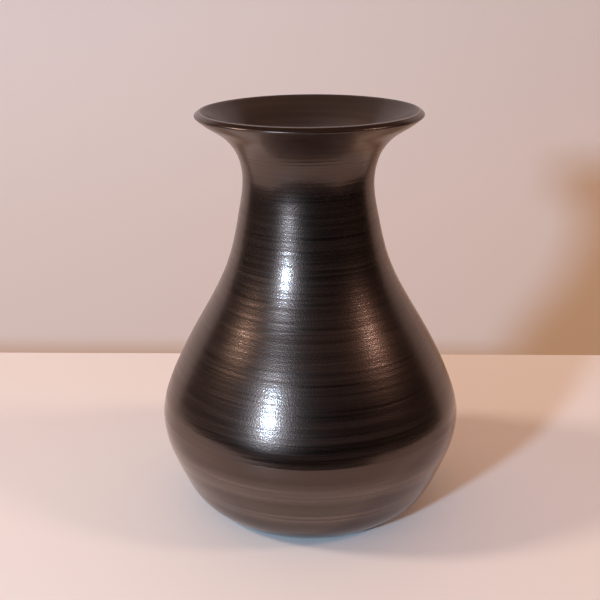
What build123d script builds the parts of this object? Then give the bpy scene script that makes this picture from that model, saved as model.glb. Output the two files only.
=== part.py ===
from build123d import *
import math
import os

# Black clay vase, round about +Z and standing on z = 0. Millimetres.
#
# It is raised from four lots of clay, one solid each: a bowl opened out of the first lump, a wall coiled up
# on the bowl, a flared collar, and a last thin coil for the lip. Neighbours meet face to face on a cone,
# the bevelled joint that the potter scores and wets before pressing the next lot on.

# Driving sizes of the outside
HEIGHT = 180.0
FOOT_RADIUS = 47.0
BELLY_RADIUS = 67.8
BELLY_HEIGHT = 42.0
THROAT_RADIUS = 28.5
THROAT_HEIGHT = 150.5
LIP_RADIUS = 48.7

# The lip is cut off square to the clay, so its end faces up and outwards
LIP_CUT_WIDTH = 2.5  # measured along the radius
LIP_CUT_DROP = 2.0

# Thickness of the clay, square to the wall, which thins evenly from the bowl to the lip
FLOOR_THICKNESS = 7.0
BOWL_THICKNESS = 5.8
LIP_THICKNESS = math.hypot(LIP_CUT_WIDTH, LIP_CUT_DROP)

# The inside is set out in equal steps along the outside, where the floor takes the place of the first ones
STEPS = 16
FLOOR_STEPS = 2

# The foot is pressed in a little, so the vase stands on a flat ring
HOLLOW_RADIUS = 36.0
HOLLOW_DEPTH = 1.5

# Where one lot of clay joins the next: radius and height of the ring on the outside
BELLY_JOINT = (60.3, 66.3)
THROAT_JOINT = (31.3, 162.0)
LIP_JOINT = (44.9, 174.5)
JOINT_SLANT = 30.0  # degrees, rising inwards

# Edges that the potter's hand has rounded
LIP_EDGE_RADIUS = 0.7
HEEL_EDGE_RADIUS = 1.5

# How far the shapes that cut the wall reach past the vase
CLEAR = 100.0


def outer_line():
    """The outside, from the edge of the foot to the lower edge of the lip."""
    return Spline(
        (FOOT_RADIUS, 0),
        (55.0, 7),
        (61.1, 18),
        (65.8, 30),
        (BELLY_RADIUS, BELLY_HEIGHT),
        (66.3, 52),
        BELLY_JOINT,
        (50.4, 85),
        (41.9, 100),
        (34.4, 118),
        (30.3, 136),
        (THROAT_RADIUS, THROAT_HEIGHT),
        THROAT_JOINT,
        (38.0, 170),
        LIP_JOINT,
        (LIP_RADIUS, HEIGHT - LIP_CUT_DROP),
    )


def inner_line(outer):
    """The inside, from the middle of the floor to the mouth, at the wall's thickness from the outside."""
    points = [(0, FLOOR_THICKNESS), (FOOT_RADIUS / 2, FLOOR_THICKNESS)]
    for step in range(FLOOR_STEPS, STEPS):
        share = step / STEPS
        thickness = BOWL_THICKNESS + (LIP_THICKNESS - BOWL_THICKNESS) * share
        inwards = outer.tangent_at(share).rotate(Axis.Z, 90)
        points.append(outer.position_at(share) + inwards * thickness)
    points.append((LIP_RADIUS - LIP_CUT_WIDTH, HEIGHT))
    return Spline(points, tangents=[(1, 0), outer.tangent_at(1)])


def rounded(face, radius, height, edge_radius):
    """A face with its corner nearest to a point rounded off."""
    corner = face.vertices().sort_by_distance((radius, height))[0]
    return fillet(corner, edge_radius)


def wall_section():
    """The clay from the axis outwards, with radius along X and height along Y."""
    outer = outer_line()
    inner = inner_line(outer)
    hollow = TangentArc((0, HOLLOW_DEPTH), (HOLLOW_RADIUS, 0), tangent=(1, 0))
    face = make_face(
        [
            outer,
            Line(outer @ 1, inner @ 1),
            inner,
            Line(inner @ 0, hollow @ 0),
            hollow,
            Line(hollow @ 1, outer @ 0),
        ]
    )
    face = rounded(face, FOOT_RADIUS, 0, HEEL_EDGE_RADIUS)
    face = rounded(face, LIP_RADIUS, HEIGHT - LIP_CUT_DROP, LIP_EDGE_RADIUS)
    return rounded(face, LIP_RADIUS - LIP_CUT_WIDTH, HEIGHT, LIP_EDGE_RADIUS)


def above(joint):
    """Everything on the upper side of the slanting joint through a ring."""
    radius, height = joint
    rise = math.tan(math.radians(JOINT_SLANT))
    reach = BELLY_RADIUS + CLEAR
    top = HEIGHT + CLEAR
    outline = Polyline(
        (0, height + radius * rise),
        (reach, height - (reach - radius) * rise),
        (reach, top),
        (0, top),
        close=True,
    )
    return make_face(outline)


def turned(section):
    """The solid that a section sweeps about the vase's axis."""
    return revolve(Plane.XZ * section, Axis.Z)


def base_bowl(wall):
    """Floor, heel and belly, opened out of one lump."""
    return turned(wall - above(BELLY_JOINT))


def shoulder_wall(wall):
    """The long wall that narrows from the belly to the throat."""
    return turned((wall & above(BELLY_JOINT)) - above(THROAT_JOINT))


def neck_collar(wall):
    """The flare above the throat."""
    return turned((wall & above(THROAT_JOINT)) - above(LIP_JOINT))


def lip_band(wall):
    """The last coil, cut square and smoothed with wet leather."""
    return turned(wall & above(LIP_JOINT))


def main():
    wall = wall_section()
    os.makedirs("parts", exist_ok=True)
    for make in (base_bowl, shoulder_wall, neck_collar, lip_band):
        export_step(make(wall), f"parts/{make.__name__}.step")


main()
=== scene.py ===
import math

import bpy
import numpy as np
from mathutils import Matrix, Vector


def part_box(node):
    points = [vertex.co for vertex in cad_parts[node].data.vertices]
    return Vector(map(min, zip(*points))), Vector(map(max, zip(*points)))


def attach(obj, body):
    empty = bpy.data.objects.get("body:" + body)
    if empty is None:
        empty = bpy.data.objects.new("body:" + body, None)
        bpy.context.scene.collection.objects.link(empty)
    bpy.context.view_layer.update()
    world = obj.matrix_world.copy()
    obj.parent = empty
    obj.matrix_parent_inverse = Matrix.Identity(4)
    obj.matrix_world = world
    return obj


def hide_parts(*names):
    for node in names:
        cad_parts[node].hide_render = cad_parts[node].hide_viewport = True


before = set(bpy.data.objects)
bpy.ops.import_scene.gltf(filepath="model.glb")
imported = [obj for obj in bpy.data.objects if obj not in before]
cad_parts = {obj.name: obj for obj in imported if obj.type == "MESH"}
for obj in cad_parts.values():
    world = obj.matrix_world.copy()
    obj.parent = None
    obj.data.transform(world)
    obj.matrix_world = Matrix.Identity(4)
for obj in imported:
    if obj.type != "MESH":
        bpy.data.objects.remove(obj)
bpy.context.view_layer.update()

# A burnished black clay vase. Metres, +Z up, standing on z = 0 about the Z axis.
#
# Each lot of clay in the frame gets a finely meshed piece of nearly the same shape, with the marks that a
# hand-made pot has: throwing rings, scored joints, a rim and neck that aren't quite true.

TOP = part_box("lip_band")[1].z

# The outside of the wall as radius and height, from the foot to the lower edge of the lip
FOOT = (0.0474, 0.0)
BELLY_JOINT = (0.0603, 0.0663)
THROAT_JOINT = (0.0313, 0.1620)
LIP_JOINT = (0.0449, 0.1745)
LIP_OUTER_EDGE = (0.0491, 0.1778)
LIP_INNER_EDGE = (0.0463, 0.1800)
OUTLINE = [
    FOOT,
    (0.0553, 0.0070),
    (0.0611, 0.0180),
    (0.0658, 0.0300),
    (0.06783, 0.0420),
    (0.06757, 0.0455),
    (0.06731, 0.0470),
    (0.06690, 0.0490),
    (0.06610, 0.0520),
    (0.0649, 0.0555),
    BELLY_JOINT,
    (0.0504, 0.0850),
    (0.0419, 0.1000),
    (0.0344, 0.1180),
    (0.0303, 0.1360),
    (0.0285, 0.1505),
    THROAT_JOINT,
    (0.0380, 0.1700),
    LIP_JOINT,
    LIP_OUTER_EDGE,
]
JOINT_SLANT = math.radians(30)

# Clay thickness, square to the wall
BOWL_THICKNESS = 0.0058
LIP_THICKNESS = math.dist(LIP_OUTER_EDGE, LIP_INNER_EDGE)
FLOOR_THICKNESS = 0.0070
FLOOR_SHARE = 0.125  # of the outside's length, which the floor stands in for
HOLLOW_RADIUS = 0.0360
HOLLOW_DEPTH = 0.0015
HEEL_ROUNDING = 0.0008
LIP_ROUNDING = 0.0010

# Mesh density: columns round the vase, and distances between rows
COLUMNS = 256
OUTER_PITCH = 0.00035
INNER_PITCH = 0.0015
HOLLOW_ROWS = 24
RING_ROWS = 8

# Steps in which the section is set out, and how many of them lie between two points of the inside
OUTER_STEP = 0.0002
INNER_STEP = 0.0005
INNER_EVERY = 16

SEED = 7


# ---------------------------------------------------------------- the section


def spline(points, count_per_span=24):
    """A smooth curve through points, as a dense polyline. Natural cubic by chord length."""
    p = np.array(points, float)
    t = np.concatenate([[0], np.cumsum(np.hypot(*np.diff(p, axis=0).T))])
    h = np.diff(t)
    n = len(p)
    system = np.zeros((n, n))
    right = np.zeros((n, 2))
    system[0, 0] = system[-1, -1] = 1
    for i in range(1, n - 1):
        system[i, i - 1 : i + 2] = h[i - 1], 2 * (h[i - 1] + h[i]), h[i]
        right[i] = 6 * ((p[i + 1] - p[i]) / h[i] - (p[i] - p[i - 1]) / h[i - 1])
    bend = np.linalg.solve(system, right)
    made = [p[:1]]
    for i in range(n - 1):
        u = np.linspace(0, 1, count_per_span + 1)[1:, None]
        v = 1 - u
        curve = v * p[i] + u * p[i + 1]
        curve += h[i] ** 2 / 6 * ((v**3 - v) * bend[i] + (u**3 - u) * bend[i + 1])
        made.append(curve)
    return np.concatenate(made)


def lengths(line):
    """Distance along a polyline at each of its points."""
    return np.concatenate([[0], np.cumsum(np.hypot(*np.diff(line, axis=0).T))])


def at(line, distances):
    """Points at these distances along a polyline."""
    along = lengths(line)
    return np.stack([np.interp(distances, along, line[:, k]) for k in (0, 1)], 1)


def resampled(line, pitch):
    total = lengths(line)[-1]
    return at(line, np.linspace(0, total, max(2, round(total / pitch)) + 1))


def normals(line):
    """Unit vectors to the right of a polyline's direction: outwards on the outside, which runs upwards."""
    d = np.gradient(line, axis=0)
    d /= np.hypot(*d.T)[:, None]
    return np.stack([d[:, 1], -d[:, 0]], 1)


def rounding(before, corner, after, count=7):
    """A smooth bend from before to after that stays inside their corner."""
    t = np.linspace(0, 1, count)[:, None]
    return (1 - t) ** 2 * before + 2 * t * (1 - t) * corner + t**2 * after


def toward(start, end, distance):
    start, end = np.array(start), np.array(end)
    return start + (end - start) * distance / np.hypot(*(end - start))


def outer_line():
    """The outside, from the edge of the foot's ring over the heel and up to the lip's inner edge."""
    wall = spline(OUTLINE)
    total = lengths(wall)[-1]
    ring = toward(FOOT, (HOLLOW_RADIUS, 0), HEEL_ROUNDING)
    heel = rounding(ring, np.array(FOOT), at(wall, [HEEL_ROUNDING])[0])
    cut_start = toward(LIP_OUTER_EDGE, LIP_INNER_EDGE, LIP_ROUNDING)
    lip_edge = rounding(at(wall, [total - LIP_ROUNDING])[0], np.array(LIP_OUTER_EDGE), cut_start)
    middle = at(wall, np.arange(HEEL_ROUNDING, total - LIP_ROUNDING, OUTER_STEP)[1:])
    cut_end = toward(LIP_INNER_EDGE, LIP_OUTER_EDGE, LIP_ROUNDING)
    return np.concatenate([heel, middle, lip_edge, cut_end[None]])


def inner_line():
    """The inside, from the lip's cut down to the middle of the floor."""
    wall = resampled(spline(OUTLINE), INNER_STEP)
    share = lengths(wall) / lengths(wall)[-1]
    thickness = BOWL_THICKNESS + (LIP_THICKNESS - BOWL_THICKNESS) * share
    offset = wall - normals(wall) * thickness[:, None]
    kept = offset[share >= FLOOR_SHARE][::INNER_EVERY]
    floor = [(0.0, FLOOR_THICKNESS), (FOOT[0] / 4, FLOOR_THICKNESS), (FOOT[0] / 2, FLOOR_THICKNESS)]
    line = spline([*floor, *kept[:-1], LIP_INNER_EDGE], count_per_span=8)[::-1]
    start = toward(LIP_INNER_EDGE, LIP_OUTER_EDGE, LIP_ROUNDING)
    bend = rounding(start, np.array(LIP_INNER_EDGE), at(line, [LIP_ROUNDING])[0])
    rest = line[lengths(line) > LIP_ROUNDING]
    return np.concatenate([bend, rest])


def under_line():
    """The underside, from the middle of the pressed hollow to the edge of the foot's ring."""
    radius = np.linspace(0, HOLLOW_RADIUS, HOLLOW_ROWS)
    hollow = np.stack([radius, HOLLOW_DEPTH * (1 - (radius / HOLLOW_RADIUS) ** 2)], 1)
    ring = toward(FOOT, (HOLLOW_RADIUS, 0), HEEL_ROUNDING)
    return np.concatenate([hollow, np.linspace(hollow[-1], ring, RING_ROWS)[1:]])


def crossing(line, joint):
    """Distance along a line at which the slanting joint through a ring crosses it."""
    radius, height = joint
    side = line[:, 1] - (height + (radius - line[:, 0]) * math.tan(JOINT_SLANT))
    i = np.flatnonzero(np.diff(np.sign(side)) != 0)[0]
    along = lengths(line)
    return along[i] + (along[i + 1] - along[i]) * side[i] / (side[i] - side[i + 1])


# ---------------------------------------------------------------- marks of the hand


def grain(rng, shape, across, along):
    """Even noise on the unrolled wall, smoothed over so many rows and columns, with a spread of 1."""
    rows, columns = shape
    fy = np.fft.fftfreq(rows)[:, None] * across
    fx = np.fft.fftfreq(columns)[None] * along
    keep = np.exp(-2 * math.pi**2 * (fx**2 + fy**2))
    made = np.fft.ifft2(np.fft.fft2(rng.standard_normal(shape)) * keep).real
    return made / made.std()


def bell(x, middle, width):
    return np.exp(-(((x - middle) / width) ** 2))


# Scored and pressed rings: height, half width, depth (less than nothing for a bead), and rise from left to
# right for each metre
RINGS = [
    (0.0257, 0.0022, 0.00010, 0.0),
    (0.0375, 0.0020, 0.00008, 0.0),
    (0.0446, 0.0009, -0.00008, 0.0),
    (0.0581, 0.0005, 0.000015, 0.0),
    (0.0663, 0.0005, 0.000030, 0.0),
    (0.0947, 0.0005, 0.000020, 0.05),
    (0.1594, 0.0005, 0.000060, 0.010),
    (0.1612, 0.0005, 0.000110, 0.015),
    (0.1628, 0.0005, 0.000090, 0.015),
    (0.1646, 0.0005, 0.000040, 0.015),
]

# Unevenness: height, then the rows and columns that it is smoothed over
STONE_MARKS = [(0.000010, 1.2, 20), (0.000005, 3.0, 30)]
SWELLING = (0.000030, 14, 36)
INNER_MARKS = [(0.00008, 1.6, 30), (0.00015, 6, 30)]

# Height about which the stone's marks are strongest, how far they reach, and their share everywhere else
MOST_WORKED = 0.105
WORKED_REACH = 0.045
LEAST_WORKED = 0.35

# Distances over which the marks fade out at the foot, at the lip, inside the lip and at the floor's middle
OUTER_FADE = 0.004
INNER_FADE = 0.006
FLOOR_FADE = 0.010


def outer_marks(line, angle):
    """How far the clay stands proud of the plain outside, at each row and column."""
    rng = np.random.default_rng(SEED)
    z = line[:, 1][:, None]
    x = line[:, 0][:, None] * np.sin(angle)[None]
    shape = (len(line), len(angle))
    worked = LEAST_WORKED + (1 - LEAST_WORKED) * bell(z, MOST_WORKED, WORKED_REACH)
    height = sum(size * worked * grain(rng, shape, rows, columns) for size, rows, columns in STONE_MARKS)
    size, rows, columns = SWELLING
    height += size * grain(rng, shape, rows, columns)
    for middle, width, depth, rise in RINGS:
        height -= depth * bell(z, middle + rise * x, width)
    return height * np.clip(z / OUTER_FADE, 0, 1) * np.clip((TOP - z) / OUTER_FADE, 0, 1)


def inner_marks(line, angle):
    """The same for the inside, which is only wiped smooth."""
    rng = np.random.default_rng(SEED + 1)
    shape = (len(line), len(angle))
    r, z = line[:, 0][:, None], line[:, 1][:, None]
    height = sum(size * grain(rng, shape, rows, columns) for size, rows, columns in INNER_MARKS)
    return height * np.clip((TOP - z) / INNER_FADE, 0, 1) * np.clip(r / FLOOR_FADE, 0, 1)


# The neck leans a little to the left between these heights, and the rim is a little higher on the right
NECK_LEAN = -0.0012
LEAN_FROM, LEAN_TO = 0.066, 0.150
RIM_SHIFT = 0.0003
RIM_RISE = math.tan(math.radians(0.5))
RIM_FROM, RIM_TO = 0.140, 0.180


def eased(z, start, end):
    """A share that grows smoothly from 0 at start to 1 at end."""
    t = np.clip((z - start) / (end - start), 0, 1)
    return t * t * (3 - 2 * t)


def lean(points):
    x, y, z = points.T
    rim = eased(z, RIM_FROM, RIM_TO)
    leant = x + NECK_LEAN * eased(z, LEAN_FROM, LEAN_TO) + RIM_SHIFT * rim
    return np.stack([leant, y, z + RIM_RISE * rim * x], 1)


# ---------------------------------------------------------------- meshes


def turned(line, height, angle):
    """Rows of points round the axis, moved out by height along the section's normal."""
    n = normals(line)
    r = line[:, 0][:, None] + n[:, 0][:, None] * height
    z = line[:, 1][:, None] + n[:, 1][:, None] * height
    return np.stack([r * np.sin(angle), -r * np.cos(angle), z], 2)


def bridge(start, end, count=5):
    """Straight rows between two rings, without the two themselves."""
    t = np.linspace(0, 1, count)[1:-1, None, None]
    return start * (1 - t) + end * t


def placed(name, mesh, material):
    mesh.materials.append(material)
    made = bpy.data.objects.new(name, mesh)
    bpy.context.scene.collection.objects.link(made)
    return made


def faces_of(count, columns, closed):
    """Quads between neighbouring rows. Rows that aren't closed end in fans round two more points."""
    ring = np.arange(count * columns).reshape(count, columns)
    beside = np.roll(ring, -1, axis=1)
    low = np.arange(count if closed else count - 1)
    high = (low + 1) % count
    faces = np.stack([ring[low], beside[low], beside[high], ring[high]], 2).reshape(-1, 4).tolist()
    if not closed:
        bottom, top = ring.size, ring.size + 1
        faces += [[bottom, b, a] for a, b in zip(ring[0], beside[0])]
        faces += [[top, a, b] for a, b in zip(ring[-1], beside[-1])]
    return faces


def sharpen(mesh, rows, columns):
    """Marks the edges along these rows as sharp."""
    ends = np.zeros(len(mesh.edges) * 2, int)
    mesh.edges.foreach_get("vertices", ends)
    row = ends.reshape(-1, 2) // columns
    sharp = (row[:, 0] == row[:, 1]) & np.isin(row[:, 0], rows)
    mesh.attributes.new("sharp_edge", "BOOLEAN", "EDGE").data.foreach_set("value", sharp)


def mesh_of(name, rows, closed, sharp_rows, material):
    """A solid of revolution from rings of points. One that isn't closed ends in two points on the axis."""
    count, columns = rows.shape[:2]
    points = rows.reshape(-1, 3)
    if not closed:
        on_axis = [[0, 0, rows[0, 0, 2]], [0, 0, rows[-1, 0, 2]]]
        points = np.concatenate([points, on_axis])
    mesh = bpy.data.meshes.new(name)
    mesh.from_pydata(lean(points).tolist(), [], faces_of(count, columns, closed))
    mesh.shade_smooth()
    sharpen(mesh, sharp_rows, columns)
    return placed(name, mesh, material)


def side_of(line, cuts, pitch, marks, angle):
    """One side of the wall as rows of points, shared out among the pieces."""
    parts = [np.linspace(a, b, max(3, round(abs(b - a) / pitch)) + 1) for a, b in zip(cuts, cuts[1:])]
    whole = at(line, np.concatenate([parts[0], *(p[1:] for p in parts[1:])]))
    swept = turned(whole, marks(whole, angle), angle)
    starts = np.cumsum([0, *(len(p) - 1 for p in parts)])
    return [swept[a : b + 1] for a, b in zip(starts, starts[1:])]


def bowl(out, back, angle, material):
    """The lowest piece, closed by the underside and by the middle of its floor."""
    under = under_line()[1:]
    foot = turned(under, np.zeros((len(under), COLUMNS)), angle)[:-1]
    across = bridge(out[-1], back[0])
    rim = len(foot) + len(out)
    rows = np.concatenate([foot, out, across, back[:-1]])
    return mesh_of("base_bowl_clay", rows, False, [rim - 1, rim + len(across)], material)


def wall(name, out, back, material):
    """A ring between two joints, or one that ends in the lip where outside and inside meet."""
    below = bridge(back[-1], out[0])
    if np.allclose(out[-1], back[0]):
        rows = np.concatenate([out, back[1:], below])
        seams = [0, len(out) + len(back) - 2]
    else:
        above = bridge(out[-1], back[0])
        rows = np.concatenate([out, above, back, below])
        inner = len(out) + len(above)
        seams = [0, len(out) - 1, inner, inner + len(back) - 1]
    return mesh_of(name, rows, True, seams, material)


def clay_pieces(material):
    angle = np.arange(COLUMNS) * 2 * math.pi / COLUMNS
    outer, inner = outer_line(), inner_line()
    joints = [BELLY_JOINT, THROAT_JOINT, LIP_JOINT]
    outer_cuts = [0, *(crossing(outer, j) for j in joints), lengths(outer)[-1]]
    inner_cuts = [lengths(inner)[-1], *(crossing(inner, j) for j in joints), 0]
    outs = side_of(outer, outer_cuts, OUTER_PITCH, outer_marks, angle)
    backs = [rows[::-1] for rows in side_of(inner, inner_cuts, INNER_PITCH, inner_marks, angle)]
    made = {"base_bowl": bowl(outs[0], backs[0], angle, material)}
    for k, node_name in enumerate(["shoulder_wall", "neck_collar", "lip_band"], 1):
        made[node_name] = wall(node_name + "_clay", outs[k], backs[k], material)
    for node_name, piece in made.items():
        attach(piece, "root")
        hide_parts(node_name)


# ---------------------------------------------------------------- materials


def node(tree, kind, **inputs):
    made = tree.nodes.new(kind)
    for key, value in inputs.items():
        made.inputs[key.replace("_", " ")].default_value = value
    return made


def bands(tree, height, stops):
    """Colours at heights up the wall, blended between."""
    low, high = stops[0][0], stops[-1][0]
    share = node(tree, "ShaderNodeMapRange", From_Min=low, From_Max=high)
    tree.links.new(height, share.inputs["Value"])
    ramp = tree.nodes.new("ShaderNodeValToRGB")
    points = ramp.color_ramp.elements
    points.remove(points[1])
    points[0].color = (*stops[0][1], 1)
    for z, colour in stops[1:]:
        points.new((z - low) / (high - low)).color = (*colour, 1)
    tree.links.new(share.outputs["Result"], ramp.inputs["Fac"])
    return ramp.outputs["Color"]


def between(tree, value, start, end, smooth=False):
    """A value carried onto another range. Start and end each pair a value with what it becomes."""
    (from_low, to_low), (from_high, to_high) = start, end
    limits = {"From_Min": from_low, "From_Max": from_high, "To_Min": to_low, "To_Max": to_high}
    made = node(tree, "ShaderNodeMapRange", **limits)
    if smooth:
        made.interpolation_type = "SMOOTHSTEP"
    tree.links.new(value, made.inputs["Value"])
    return made.outputs["Result"]


def combined(tree, operation, a, b):
    made = tree.nodes.new("ShaderNodeMath")
    made.operation = operation
    tree.links.new(a, made.inputs[0])
    tree.links.new(b, made.inputs[1])
    return made.outputs["Value"]


def noise(tree, where, scale, detail):
    """Noise with this many features for each metre in x, y and z."""
    stretch = tree.nodes.new("ShaderNodeMapping")
    stretch.inputs["Scale"].default_value = scale
    tree.links.new(where, stretch.inputs["Vector"])
    made = node(tree, "ShaderNodeTexNoise", Scale=1.0, Detail=detail)
    tree.links.new(stretch.outputs["Vector"], made.inputs["Vector"])
    return made.outputs["Fac"]


def inside(tree, where, value):
    """The value where the surface faces the vase's axis, and nothing where it faces away.

    The product is the radius, and less than nothing where the surface faces the axis.
    """
    radial = tree.nodes.new("ShaderNodeVectorMath")
    radial.operation = "MULTIPLY"
    tree.links.new(where, radial.inputs[0])
    radial.inputs[1].default_value = (1, 1, 0)
    facing = tree.nodes.new("ShaderNodeVectorMath")
    facing.operation = "DOT_PRODUCT"
    tree.links.new(radial.outputs["Vector"], facing.inputs[0])
    tree.links.new(tree.nodes.new("ShaderNodeTexCoord").outputs["Normal"], facing.inputs[1])
    return between(tree, facing.outputs["Value"], (-INSIDE_FROM, value), (0.0, 0.0))


def bumped(tree, distance, height, strength, normal=None):
    made = node(tree, "ShaderNodeBump", Distance=distance)
    tree.links.new(height, made.inputs["Height"])
    tree.links.new(strength, made.inputs["Strength"])
    if normal:
        tree.links.new(normal, made.inputs["Normal"])
    return made.outputs["Normal"]


# Features for each metre in x, y and z
SMOKE = (7, 7, 640)
STONE_LINES = (20, 20, 1150)
SPECKLE = (1700, 1700, 1700)

# Colour by height: smoke black above the belly; on the bowl, greyer bands of painted reflection of the lit
# table
CLAY_AND_REFLECTION_BANDS = [
    (0.0000, (0.010, 0.006, 0.004)),
    (0.0135, (0.006, 0.004, 0.003)),
    (0.0165, (0.070, 0.048, 0.038)),
    (0.0195, (0.036, 0.024, 0.019)),
    (0.0257, (0.006, 0.003, 0.002)),
    (0.0312, (0.075, 0.055, 0.044)),
    (0.0345, (0.045, 0.033, 0.027)),
    (0.0380, (0.003, 0.001, 0.001)),
    (0.0430, (0.012, 0.008, 0.006)),
    (0.0480, (0.008, 0.005, 0.004)),
    (0.0560, (0.008, 0.005, 0.004)),
]

# The bowl is wiped smooth up to the first height. From the second the stone's marks are at their strongest.
BOWL_TOP, STONE_FROM = 0.046, 0.055
BOWL_MARKS = 0.12
BOWL_ROUGHNESS, STONE_ROUGHNESS, INSIDE_ROUGHNESS = 0.18, 0.32, 0.60
STREAK_ROUGHNESS = 0.04
STREAK_DEPTH = 0.000022
SPECK_DEPTH = 0.00005
INSIDE_FROM = 0.004  # radius from which the inside's roughness is complete


def clay_and_reflection_colour(tree, where, height):
    """The smoke black and the bowl's bands of painted reflection, broken up by long smoke streaks."""
    smoke = noise(tree, where, SMOKE, 4.0)
    body = tree.nodes.new("ShaderNodeVectorMath")
    body.operation = "SCALE"
    # The bowl's lighter and darker bands are painted reflection of the lit table
    tree.links.new(bands(tree, height, CLAY_AND_REFLECTION_BANDS), body.inputs["Vector"])
    tree.links.new(between(tree, smoke, (0.32, 0.15), (0.68, 1.85)), body.inputs["Scale"])
    return body.outputs["Vector"]


def roughness(tree, where, height, lines):
    level = between(tree, height, (BOWL_TOP, BOWL_ROUGHNESS), (STONE_FROM, STONE_ROUGHNESS), smooth=True)
    streaks = between(tree, lines, (0.3, -STREAK_ROUGHNESS), (0.7, STREAK_ROUGHNESS))
    outside = combined(tree, "ADD", level, streaks)
    return combined(tree, "MAXIMUM", outside, inside(tree, where, INSIDE_ROUGHNESS))


def marked_normal(tree, where, height, lines):
    """Stone lines, and a fine speckle over them."""
    worked = between(tree, height, (BOWL_TOP, BOWL_MARKS), (STONE_FROM, 1.0), smooth=True)
    speck = noise(tree, where, SPECKLE, 1.0)
    lined = bumped(tree, STREAK_DEPTH, lines, worked)
    return bumped(tree, SPECK_DEPTH, speck, worked, lined)


def clay():
    """Burnished, smoke-blackened clay: a broad brown sheen under a thin, sharper one."""
    material = bpy.data.materials.new("burnished_clay")
    material.use_nodes = True
    tree = material.node_tree
    shader = tree.nodes["Principled BSDF"]
    shader.inputs["IOR"].default_value = 1.72
    shader.inputs["Specular Tint"].default_value = (1.0, 0.74, 0.62, 1)
    shader.inputs["Coat Weight"].default_value = 0.42
    shader.inputs["Coat Roughness"].default_value = 0.12
    shader.inputs["Coat Tint"].default_value = (1.0, 0.80, 0.70, 1)
    where = tree.nodes.new("ShaderNodeTexCoord").outputs["Object"]
    split = tree.nodes.new("ShaderNodeSeparateXYZ")
    tree.links.new(where, split.inputs["Vector"])
    height = split.outputs["Z"]
    lines = noise(tree, where, STONE_LINES, 2.0)
    normal = marked_normal(tree, where, height, lines)
    tree.links.new(clay_and_reflection_colour(tree, where, height), shader.inputs["Base Color"])
    tree.links.new(roughness(tree, where, height, lines), shader.inputs["Roughness"])
    tree.links.new(normal, shader.inputs["Normal"])
    tree.links.new(normal, shader.inputs["Coat Normal"])
    return material


def paint(name, colour, rough):
    """A matt paint for the stage."""
    material = bpy.data.materials.new(name)
    material.use_nodes = True
    shader = material.node_tree.nodes["Principled BSDF"]
    shader.inputs["Base Color"].default_value = (*colour, 1)
    shader.inputs["Roughness"].default_value = rough
    return material


def glowing(material, glow, fade_to, share_above):
    """A glow that fades upwards to a share of itself, for room light that the few lamps don't give."""
    tree = material.node_tree
    shader = tree.nodes["Principled BSDF"]
    shader.inputs["Emission Color"].default_value = (*glow, 1)
    split = tree.nodes.new("ShaderNodeSeparateXYZ")
    tree.links.new(tree.nodes.new("ShaderNodeTexCoord").outputs["Object"], split.inputs["Vector"])
    strength = between(tree, split.outputs["Z"], (0.0, 1.0), (fade_to, share_above))
    tree.links.new(strength, shader.inputs["Emission Strength"])
    return material


# ---------------------------------------------------------------- stage, lights and camera

TABLE_LEFT, TABLE_RIGHT = -0.60, 0.35
TABLE_FRONT, TABLE_BACK = -0.28, 0.163
TABLE_THICKNESS = 0.03
WALL_LEFT, WALL_RIGHT = -0.90, 1.07
WALL_BOTTOM, WALL_TOP = -0.20, 0.60
WALL_Y = 0.485
WALL_THICKNESS = 0.02
WALL_GLOW = (0.23, 0.11, 0.045)
GLOW_FADES_TO, GLOW_SHARE_ABOVE = 0.35, 0.3


def slab(name, low, high, material):
    """A plain box of the stage."""
    corners = [(x, y, z) for x in (low[0], high[0]) for y in (low[1], high[1]) for z in (low[2], high[2])]
    faces = [(0, 1, 3, 2), (4, 6, 7, 5), (0, 4, 5, 1), (2, 3, 7, 6), (0, 2, 6, 4), (1, 5, 7, 3)]
    mesh = bpy.data.meshes.new(name)
    mesh.from_pydata(corners, [], faces)
    placed(name, mesh, material)


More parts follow.
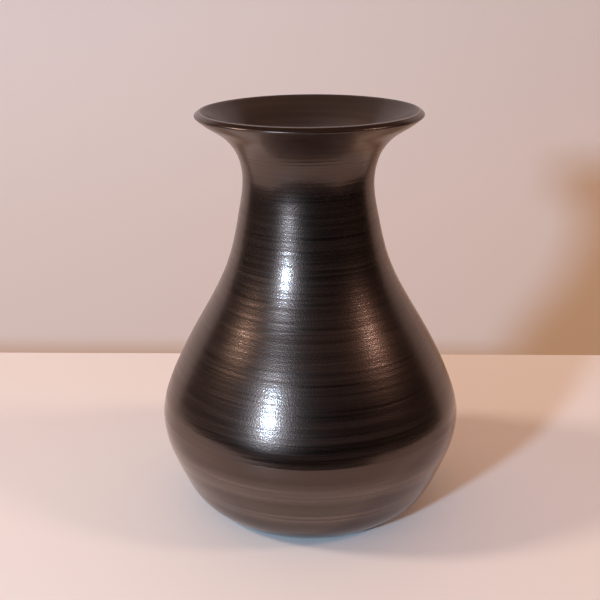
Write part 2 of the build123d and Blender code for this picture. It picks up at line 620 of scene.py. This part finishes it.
def stage():
    table_paint = paint("floor_paint", (0.88, 0.81, 0.77), 0.6)
    wall_paint = paint("backdrop_paint", (0.78, 0.70, 0.66), 0.9)
    slab(
        "floor",
        (TABLE_LEFT, TABLE_FRONT, -TABLE_THICKNESS),
        (TABLE_RIGHT, TABLE_BACK, 0),
        table_paint,
    )
    slab(
        "backdrop",
        (WALL_LEFT, WALL_Y, WALL_BOTTOM),
        (WALL_RIGHT, WALL_Y + WALL_THICKNESS, WALL_TOP),
        glowing(wall_paint, WALL_GLOW, GLOW_FADES_TO, GLOW_SHARE_ABOVE),
    )
    # The world only shows behind the stage and lights nothing
    world = bpy.data.worlds.new("studio")
    bpy.context.scene.world = world
    world.use_nodes = True
    world.node_tree.nodes["Background"].inputs["Color"].default_value = (0.66, 0.55, 0.50, 1)
    seen = world.cycles_visibility
    seen.diffuse = seen.glossy = seen.transmission = seen.scatter = False
    bpy.context.scene.view_settings.view_transform = "Standard"


def panel(name, azimuth, place, size, radiance, shape="SQUARE", mirrored=True):
    """A soft light that faces the vase.

    Azimuth 0 is the camera's side and 90 the right. Place is how far away and how high. One that isn't
    mirrored lights the stage without showing in the polish.
    """
    reach, height = place
    a = math.radians(azimuth)
    light = bpy.data.lights.new(name, "AREA")
    light.shape = shape
    light.size = size
    area = size * size * (math.pi / 4 if shape == "DISK" else 1)
    strongest = max(radiance)
    light.color = [c / strongest for c in radiance]
    light.energy = strongest * area * math.pi
    made = bpy.data.objects.new(name, light)
    made.location = (math.sin(a) * reach, -math.cos(a) * reach, height)
    toward_light = Vector(made.location) - Vector((0, 0, TOP / 2))
    made.rotation_euler = toward_light.to_track_quat("Z", "Y").to_euler()
    made.visible_glossy = mirrored
    bpy.context.scene.collection.objects.link(made)


def lights():
    panel("ceiling", 0, (0.001, 1.4), 3.2, (0.14, 0.068, 0.042))
    panel("room", 0, (0.001, 1.39), 3.2, (0.46, 0.26, 0.13), mirrored=False)
    panel("lamp_left", -82, (1.80, 1.35), 0.40, (50, 41, 35), "DISK")
    panel("lamp_right", 75, (1.80, 1.35), 0.40, (27, 19, 16), "DISK")
    panel("window", -32.3, (1.15, 0.46), 0.10, (220, 315, 430))


CAMERA_PLACE = (0.0, -0.4195, 0.2418)
CAMERA_PITCH = 19.41
CAMERA_YAW = 0.65
LENS = 59.1


def camera():
    data = bpy.data.cameras.new("camera")
    data.lens = LENS
    data.sensor_width = 36
    made = bpy.data.objects.new("camera", data)
    made.location = CAMERA_PLACE
    made.rotation_euler = (math.radians(90 - CAMERA_PITCH), 0, math.radians(CAMERA_YAW))
    bpy.context.scene.collection.objects.link(made)
    bpy.context.scene.camera = made


camera()
stage()
lights()
clay_pieces(clay())
